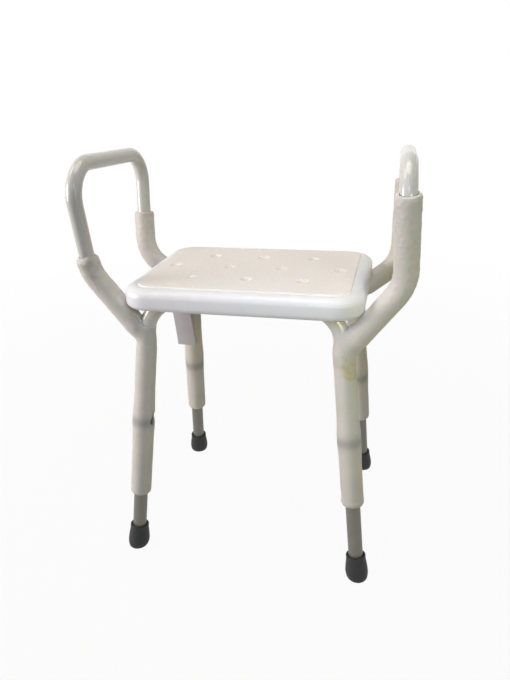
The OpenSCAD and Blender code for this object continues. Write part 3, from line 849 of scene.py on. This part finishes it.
def melt_together(points, leg, arm, leg_r, melt):
    """Moves points onto the smooth union of the leg's rod and the arm's rod."""
    def both(points):
        d1, q1 = nearest(points, leg)
        d2, q2 = nearest(points, arm)
        along = np.linalg.norm(q2 - np.array(arm[0]), axis=1)
        arm_r = ARM_R * np.interp(along, ROOT_PLACES, ROOT_WIDTHS)
        return d1, q1, d2, q2, d1 - leg_r(points), d2 - arm_r

    d1, q1, d2, q2, f1, f2 = both(points)
    rise = np.minimum(f1, f2)
    for _ in range(MELT_ROUNDS):
        share = np.clip(0.5 + 0.5 * (f1 - f2) / melt, 0, 1)
        f = f1 + (f2 - f1) * share - melt * share * (1 - share)
        from_leg, from_arm = (points - q1) / d1[:, None], (points - q2) / d2[:, None]
        out = from_leg * (1 - share)[:, None] + from_arm * share[:, None]
        length = np.linalg.norm(out, axis=1)
        slope = np.maximum(length, LEAST_SLOPE)
        move = np.where(length > LEAST_SLOPE, (rise - f) / slope, 0)
        points = points + out / slope[:, None] * move[:, None]
        d1, q1, d2, q2, f1, f2 = both(points)
    return points


# %% One mesh with a modifier applied, and the crinkled rods
def with_modifier(mesh, kind, **settings):
    thing = placed("blank", mesh)
    modify(thing, kind, **settings)
    return settled(thing)


def arm_line(end, step):
    """The arm's centre line from the leg up to the top of its sleeve."""
    low, bend, high = arm_corners(end)
    share = (ARM_TOPS[end] - bend.z) / (high.z - bend.z)
    path = rounded_path([low, bend, bend.lerp(high, share)], ARM_BEND_R, step)
    lifts = [ARM_LIFTS[end] * math.sin(math.pi * math.sqrt(i / (len(path) - 1))) for i in range(len(path))]
    return [p + Vector((0, 0, lift)) for p, lift in zip(path, lifts)]


def crinkle(points, end, arm):
    """Extra folds where a sleeve has been squeezed: small creases across its length."""
    d, q = nearest(points, arm)
    lowest, share = CREASES[end]
    strength = np.clip((points[:, 2] - lowest) / CREASES_GROW, 0, 1) * share * (d < BESIDE_ARM)
    push = np.zeros(len(points))
    for i in np.nonzero(strength)[0]:
        x, y, z = points[i]
        ridged = abs(noise.noise(Vector((x * RIDGES_ACROSS, y * RIDGES_ACROSS, z * RIDGES_UP))))
        lumpy = noise.noise(Vector((x, y, z)) * LUMPS)
        push[i] = strength[i] * (1.0 * MM * ridged - 0.3 * MM + 0.7 * MM * lumpy)
    out = (points - q) / np.maximum(d, 1e-6)[:, None]
    print("crinkled points:", end, int((strength > 0).sum()), "of", len(points))
    return points + out * push[:, None]


# %% Mark the painted collar shade and the stain
SHADE_DEPTH, SHADE_OFF, SHADE_HALF = 0.6, 8 * MM, 10 * MM
# The stain starts higher on its left. It fades in over STAIN_EDGE, and out along STAIN_TOP.
STAIN_LOW, STAIN_RISE, STAIN_EDGE, STAIN_WAVER = 372 * MM, 12 * MM, 8 * MM, 4 * MM
STAIN_TOP, STAIN_TILT, STAIN_SIDE = (403 * MM, 414 * MM), (4 * MM, -10 * MM), (-13 * MM, -1 * MM)


def mark_foam(mesh, end):
    """Where painted shade darkens the foam over the dark collar and, on the front right leg, what old tape
    has left.
    """
    foot, up = leg_line(end)
    heights = [(v.co - foot).dot(up) for v in mesh.vertices]
    shade_at = COLLAR_AT + (SHADE_OFF if "front" in end else -SHADE_OFF)
    set_attribute(mesh, "collar_shadow", [SHADE_DEPTH * bell(s, shade_at, SHADE_HALF) for s in heights])
    stain = [0.0] * len(heights)
    if end == "front_right":
        for i, (v, s) in enumerate(zip(mesh.vertices, heights)):
            sideways = (v.co - foot - up * s).dot(camera_right) + STAIN_WAVER * noise.noise(v.co * 90)
            low = STAIN_LOW + STAIN_RISE * smooth_step(*STAIN_TILT, sideways)
            band = smooth_step(low, low + STAIN_EDGE, s) * (1 - smooth_step(*STAIN_TOP, s))
            stain[i] = band * smooth_step(*STAIN_SIDE, sideways)
    set_attribute(mesh, "tape_stain", stain)


# %% Make the foam of one corner
def foam_corner(seed, end):
    foot, up = (np.array(v) for v in leg_line(end))
    start, top = LEG_STARTS[end], LEG_TOPS[end]
    leg, places = sleeve_line(end, start, top)
    widths = [leg_width(end, s) for s in places]
    leg_rod = sweep(leg, widths, LEG_R, foam,
                    Crinkle=1.3 * MM, Crinkle_Scale=38.0, Ragged=3 * MM, Seed=float(seed))
    arm = arm_line(end, STEP)
    gone = lengths_along(arm)
    arm_widths = [end_rounding(gone[-1] - g, 0.1) * float(np.interp(g, ROOT_PLACES, ROOT_WIDTHS))
                  for g in gone]
    arm_rod = sweep(arm, arm_widths, ARM_R, foam,
                    Crinkle=1.3 * MM, Crinkle_Scale=34.0, Ragged=5 * MM, Seed=10.0 + seed)
    fused = with_modifier(joined([leg_rod, arm_rod]), "REMESH", mode="VOXEL", voxel_size=VOXEL)
    points = np.empty(len(fused.vertices) * 3)
    fused.vertices.foreach_get("co", points)
    radii = [width * LEG_R for width in widths]

    def leg_radius(p):
        return np.interp((p - foot) @ up, places, radii)

    points = melt_together(points.reshape(-1, 3), leg, arm, leg_radius, MELTS[end])
    points = crinkle(points, end, arm)
    fused.vertices.foreach_set("co", points.ravel())
    fused.update()
    inside, bore_places = sleeve_line(end, start - BORE_BELOW, top + BORE_ABOVE)
    leg_bore = sweep(inside, [bore_radius(s) for s in bore_places], 1.0, foam)
    longer = rounded_path(arm_corners(end), ARM_BEND_R, ARM_BORE_STEP)
    arm_bore_radii = [ROOT_BORE if i * ARM_BORE_STEP < ROOT_BORE_LENGTH else ARM_BORE
                      for i in range(len(longer))]
    arm_bore = sweep(longer, arm_bore_radii, 1.0, foam)
    smooth = with_modifier(fused, "SMOOTH", factor=0.4, iterations=1)
    mesh = cut_away(smooth, [[leg_bore], [arm_bore], *tears(end)])
    mark_foam(mesh, end)
    soften(mesh, 50)
    piece = add_piece("foam_" + end, mesh, foam, "foam", "stool", "leg_sleeve_" + end, "arm_sleeve_" + end)
    print(piece.name, "faces:", len(mesh.polygons))
    return piece


# %% [markdown]
# The front left sleeve has a torn notch on its inner side, just where the collar sits, and the
# front right one has two small tears. A tear is a prism whose outline is drawn on the sleeve: each
# corner has an angle, counted from the side that faces the camera towards its right, and a height.

# %% Tears
NOTCH = [(44, 0.265), (60, 0.2865), (104, 0.285), (130, 0.270), (95, 0.2555)]
SPLIT = [(40, 0.378), (44, 0.3825), (46, 0.377)]
NICK = [(62, 0.368), (65, 0.3745), (69, 0.3695)]
TEARS = {"front_left": [(NOTCH, 15 * MM, 26 * MM)],
         "front_right": [(SPLIT, 15.5 * MM, 22 * MM), (NICK, 15.5 * MM, 22 * MM)]}


def prism(end, outline, inner, outer):
    """A wedge between two distances from the leg's line. Its outline has degrees and metres."""
    foot, up = leg_line(end)
    facing = (camera_back - up * camera_back.dot(up)).normalized()
    sideways = up.cross(facing)
    b = bmesh.new()
    corners = []
    for r in (inner, outer):
        for angle, s in outline:
            a = math.radians(angle)
            spoke = facing * math.cos(a) + sideways * math.sin(a)
            corners.append(b.verts.new(foot + up * s + spoke * r))
    bmesh.ops.convex_hull(b, input=corners)
    bmesh.ops.recalc_face_normals(b, faces=b.faces)
    return mesh_of(b, "prism")


def tears(end):
    return [[prism(end, *tear)] for tear in TEARS.get(end, [])]


# %% Make all four
foams = {end: foam_corner(seed, end) for seed, end in enumerate(ENDS)}

# %% [markdown]
# A small patch of clear tape holds the front right sleeves together. It is laid on the foam
# itself: the foam's own faces there are copied, lifted a third of a millimetre or more, and get a
# ragged outline.

# %% Clear tape
BORE_SIDE_R, TAPE_BACK, TAPE_RIGHT = 15.2 * MM, -4 * MM, 2 * MM
TAPE_RAGGED, TAPE_LIFT, TAPE_WRINKLE = 8 * MM, 0.35 * MM, 0.25 * MM


def lay_tape(end, low, high):
    """A film over the foam from one place to another, on the side that faces left and the camera."""
    foot, up = leg_line(end)
    b = bmesh.new()
    b.from_mesh(foams[end].data)
    doomed = []
    for face in b.faces:
        middle = face.calc_center_median()
        spoke = (middle - foot) - up * (middle - foot).dot(up)
        s = (middle - foot).dot(up) + TAPE_RAGGED * noise.noise(middle * 110)
        inside = spoke.length < BORE_SIDE_R or face.normal.dot(spoke) < 0
        hidden = spoke.dot(camera_back) < TAPE_BACK or spoke.dot(camera_right) > TAPE_RIGHT
        if not low < s < high or inside or hidden:
            doomed.append(face)
    bmesh.ops.delete(b, geom=doomed, context="FACES")
    for v in b.verts:
        v.co += v.normal * (TAPE_LIFT + TAPE_WRINKLE * abs(noise.noise(v.co * 330)))
    mesh = mesh_of(b, "tape")
    mesh.shade_smooth()
    for layer in ("collar_shadow", "tape_stain"):
        mesh.attributes.remove(mesh.attributes[layer])
    return add_piece("clear_tape_" + end, mesh, clear_tape, "foam", "stool")


tape = lay_tape("front_right", 396 * MM, 417 * MM)
print("tape faces:", len(tape.data.polygons))

# %% [markdown]
# ## Rubber feet
# A foot is a moulded cup that the leg is pushed into. It is a turned shape about the leaning leg,
# but it stands flat on a level floor, so its lowest rings are tilted until they lie level.

# %% Build the feet
# Radius and height in millimetres, from the middle of the sole out, up and back in
FOOT_PROFILE = [
    (0, 1.6), (6, 1.6), (6.6, 0.2), (9, 0.2), (9.6, 1.4), (11, 1.4), (11.6, 0.2), (15.6, 0.0),
    (17.0, 0.5), (18.2, 2.2), (19.2, 5.5), (19.8, 9.5), (20.0, 13.5), (19.7, 18.0), (19.1, 24.0),
    (18.3, 30.0), (17.5, 35.5), (17.1, 39.5), (17.3, 42.5), (17.35, 44.0), (16.9, 44.9), (15.2, 45.0),
    (13.9, 44.6), (13.1, 43.4), (12.75, 41.0), (12.74, 30.0),
]
FOOT_STEPS, LEVEL_BELOW, LEANS_ABOVE = 72, 2, 22
for end in ENDS:
    foot, up = leg_line(end)
    across = Vector((side_of(end), 0, 0))
    y_axis = up.cross(across).normalized()
    x_axis = y_axis.cross(up)
    rows = []
    for r, s in FOOT_PROFILE:
        level = 1 - smooth_step(LEVEL_BELOW, LEANS_ABOVE, s)
        row = []
        for k in range(FOOT_STEPS):
            a = 2 * math.pi * k / FOOT_STEPS
            spoke = (x_axis * math.cos(a) + y_axis * math.sin(a)) * (r * MM)
            row.append(foot + spoke + up * (s * MM / up.z - spoke.z / up.z * level))
        rows.append(row)
    mesh = closed_skin("foot", rows, first_cap=False, merge=0.01 * MM)
    soften(mesh, 50)
    add_piece("rubber_foot_" + end, mesh, rubber, "foot_rubber", "leg_" + end, "foot_" + end)
print("feet:", len(ENDS), "with", len(mesh.polygons), "faces each")

# %% [markdown]
# ## Hang tag
# The tag is a folded card: two leaves that share a fold at the top and spread a little towards the
# bottom. It hangs by a punched hole near its upper left corner, so it is drawn about that hole and
# leans a few degrees. The back leaf is a bit shorter and curls at one corner. It is left bare.

# %% Build the folded card
ring_low, ring_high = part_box("tag_ring")
tag_low, tag_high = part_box("hang_tag")
HOLE = Vector(((ring_low.x + ring_high.x) / 2, (tag_low.y + tag_high.y) / 2, ring_low.z + 0.5 * MM))
TAG_W, TAG_H = 38 * MM, 102 * MM
HOLE_ACROSS, HOLE_DOWN = 29 * MM, 6 * MM
LEAN = math.radians(6)
COLUMNS, ROWS = 24, 64
PUNCH_R = 2.2 * MM
CARD_T = 0.4 * MM
BOW, CURL_FROM, CORNER_RISE, CORNER_FORWARD = 1.2 * MM, 1.25, 6 * MM, 3 * MM


def tag_point(u, v, depth):
    """A place on the card: u from its left edge, v down from its fold, turned by the lean."""
    x, z = u - HOLE_ACROSS, HOLE_DOWN - v
    c, s = math.cos(LEAN), math.sin(LEAN)
    return HOLE + Vector((x * c - z * s, depth, z * c + x * s))


def tag_leaf(spread, height, corner_curl):
    """Rows of points down one leaf. Its lower left corner lifts a little towards the viewer."""
    rows = []
    for j in range(ROWS + 1):
        t = j / ROWS
        row = []
        for i in range(COLUMNS + 1):
            u = i / COLUMNS
            bow = BOW * math.sin(math.pi * u) * min(1.0, 3 * t)
            curl = corner_curl * max(0.0, u + t - CURL_FROM) ** 2
            lift = (1 - u) * t ** 3
            row.append(tag_point(u * TAG_W + 0.35 * curl, t * height - CORNER_RISE * lift,
                                 spread * t ** 1.4 - bow + curl - CORNER_FORWARD * lift))
        rows.append(row)
    return rows


b = bmesh.new()
front = tag_leaf(-1.6 * MM, TAG_H - 3 * MM, 0.0)
back = tag_leaf(2.4 * MM, TAG_H - 4 * MM, 10 * MM)
join_rows(b, [*reversed(back), *front[1:]], closed=False)


def from_hole(v):
    return Vector((v.x - HOLE.x, 0, v.z - HOLE.z))


punched = [face for face in b.faces if from_hole(face.calc_center_median()).length < PUNCH_R - 0.3 * MM]
bmesh.ops.delete(b, geom=punched, context="FACES")
for v in b.verts:
    away = from_hole(v.co)
    if away.length < PUNCH_R + 0.75 * MM:
        v.co += away.normalized() * (PUNCH_R - away.length)
bmesh.ops.recalc_face_normals(b, faces=b.faces)
tag_mesh = with_modifier(mesh_of(b, "tag"), "SOLIDIFY", thickness=CARD_T, offset=0.0)
soften(tag_mesh, 40)
add_piece("blank_tag", tag_mesh, card, "card", "stool", "hang_tag")
print("tag:", TAG_W, "by", TAG_H)

# %% [markdown]
# ## Floor, sky and lamps
# A pale floor and an even white sky, as in a small studio. To the camera the floor is almost clear:
# the white sky shows through it, a faint shadow stays, and a leg that is let down below the floor
# can still be seen. Further out it is wholly clear, so no horizon shows. Reflections see both as
# white. Five soft lamps light the stool: a large one low on its left, which makes every tube bright
# on one side, two overhead for the seat, and two narrow ones in front, a cool and a warm one.

# %% Floor
b = bmesh.new()
bmesh.ops.create_grid(b, x_segments=1, y_segments=1, size=12)
floor_mesh = mesh_of(b, "floor")
floor = placed("floor", floor_mesh)
paper, tree, shader, place = new_finish("backdrop_paper", {"Roughness": 0.9, "Base Color": linear("#ABABA7")})
rays = add_node(tree, "ShaderNodeLightPath").outputs
reflected = arithmetic(tree, "MAXIMUM", rays["Is Glossy Ray"], rays["Is Transmission Ray"])
share = arithmetic(tree, "MULTIPLY", reflected, 0.9)
glow = add_node(tree, "ShaderNodeEmission", {"Color": (1, 1, 1, 1), "Strength": 1.0})
lit = add_node(tree, "ShaderNodeMixShader", {}, {0: share, 1: shader.outputs["BSDF"], 2: glow.outputs[0]})
from_stool = add_node(tree, "ShaderNodeVectorMath", {"operation": "LENGTH"}, {0: place}).outputs["Value"]
clearness = arithmetic(tree, "MULTIPLY", rays["Is Camera Ray"], ramp(tree, from_stool, 0.5, 2.2, 0.95, 1.0))
clear = add_node(tree, "ShaderNodeBsdfTransparent", {"Color": (1, 1, 1, 1)})
mixed = add_node(tree, "ShaderNodeMixShader", {}, {0: clearness, 1: lit.outputs[0], 2: clear.outputs[0]})
tree.links.new(mixed.outputs[0], tree.nodes["Material Output"].inputs["Surface"])
floor_mesh.materials.append(paper)

# %% Sky
world = bpy.data.worlds.new("studio")
bpy.context.scene.world = world
world.use_nodes = True
tree = world.node_tree
tree.nodes.clear()
rays = add_node(tree, "ShaderNodeLightPath").outputs
seen = arithmetic(tree, "MAXIMUM", rays["Is Camera Ray"], rays["Is Glossy Ray"])
seen = arithmetic(tree, "MAXIMUM", seen, rays["Is Transmission Ray"])
white = add_node(tree, "ShaderNodeBackground", {"Color": (1, 1, 1, 1), "Strength": 1.0})
fill = add_node(tree, "ShaderNodeBackground", {"Color": linear("#FFF8E6"), "Strength": 0.02})
mixed = add_node(tree, "ShaderNodeMixShader", {}, {0: seen, 1: fill.outputs[0], 2: white.outputs[0]})
add_node(tree, "ShaderNodeOutputWorld", {}, {"Surface": mixed.outputs[0]})


# %% Lamps
def soft_lamp(name, place, aim, size, power, colour, spread=180):
    data = bpy.data.lights.new(name, "AREA")
    data.shape = "DISK"
    data.size = size
    data.energy = power
    data.color = linear(colour)[:3]
    data.spread = math.radians(spread)
    turn = (Vector(aim) - Vector(place)).to_track_quat("-Z", "Y").to_matrix().to_4x4()
    placed(name, data).matrix_world = Matrix.Translation(place) @ turn


stool_middle = (0, 0, 0.45)
soft_lamp("window_low", (-2.1, -0.8, 0.9), stool_middle, 1.0, 39, "#FFF8F7")
soft_lamp("window_high", (-1.5, -0.35, 2.7), stool_middle, 1.3, 10, "#FFFFFF")
soft_lamp("ceiling", (0.1, -0.1, 2.6), stool_middle, 1.6, 24, "#FFFBED")
soft_lamp("front_cool", (0.3, -1.0, 1.15), (0.08, -0.15, 0.42), 0.35, 0.48, "#A5C1FF", spread=60)
soft_lamp("front_warm", (0.8, -0.9, 0.8), (0.2, -0.15, 0.4), 0.35, 0.46, "#FFFEC0", spread=60)
bpy.context.scene.view_settings.view_transform = "Standard"
